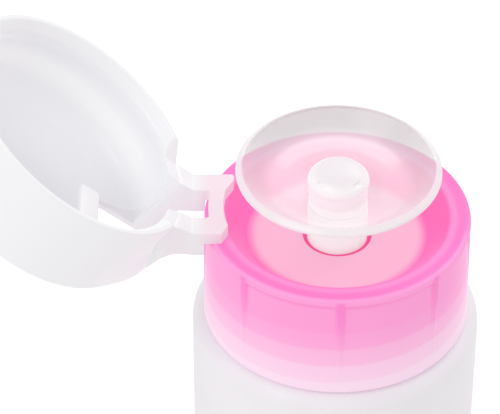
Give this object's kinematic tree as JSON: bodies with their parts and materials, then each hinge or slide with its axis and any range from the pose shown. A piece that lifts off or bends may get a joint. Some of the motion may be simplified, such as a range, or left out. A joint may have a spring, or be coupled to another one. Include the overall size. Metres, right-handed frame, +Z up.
{
  "type": "liquid dispenser bottle",
  "caption": "Small push-down pump bottle with a dished press plate, a screw collar and a hinged flip lid.",
  "frame": {"origin": "middle of the bottle's flat base, on the bottle's axis", "axes": "+Z up along the bottle's axis, +Y along the lid's hinge line, the lid opens towards -X"},
  "size_m": [0.0813, 0.0428, 0.1118],
  "materials": {
    "frosted": "frosted translucent",
    "pink": "glossy translucent pink",
    "white_translucent": "satin milky white",
    "clear": "polished clear",
    "white": "satin opaque white",
    "natural": "natural moulded",
    "seal": "soft matt seal",
    "steel": "bright wire and balls"
  },
  "bodies": {
    "bottle": {"bottle": "frosted"},
    "pump": {"pump_housing": "natural", "neck_gasket": "seal", "dip_tube": "natural", "ball_cage": "natural", "stem_guide": "natural", "pump_spring": "steel"},
    "collar": {"collar": "pink", "hinge_bracket": "white_translucent"},
    "lid": {"lid": "white_translucent"},
    "plunger": {"press_dish": "clear", "plunger_stem": "white", "outlet_cap": "white", "piston": "seal", "piston_seat": "natural"},
    "outlet_ball": {"outlet_ball": "steel"},
    "inlet_ball": {"inlet_ball": "steel"}
  },
  "joints": [
    {"name": "closure_lift", "type": "slide", "parent": "bottle", "child": "pump", "axis": [0, 0, 1], "range_m": [0, 0.0047]},
    {"name": "closure_turn", "type": "hinge", "parent": "pump", "child": "collar", "pos_m": [0, 0, 0.0727], "axis": [0, 0, 1], "range_deg": [0, 540]},
    {"name": "lid_hinge", "type": "hinge", "parent": "collar", "child": "lid", "pos_m": [-0.0213, 0, 0.0835], "axis": [0, 1, 0], "range_deg": [0, 141]},
    {"name": "dish_press", "type": "slide", "parent": "pump", "child": "plunger", "axis": [0, 0, -1], "range_m": [0, 0.006], "stiffness_N_per_m": 600, "springref_m": -0.008, "deforming": ["pump_spring"]},
    {"name": "outlet_ball_lift", "type": "slide", "parent": "plunger", "child": "outlet_ball", "axis": [0, 0, 1], "range_m": [0, 0.0006]},
    {"name": "inlet_ball_lift", "type": "slide", "parent": "pump", "child": "inlet_ball", "axis": [0, 0, 1], "range_m": [0, 0.0012]}
  ],
  "couplings": [
    {"joint": "closure_lift", "follows": "closure_turn", "m_per_rad": 0.000493}
  ]
}
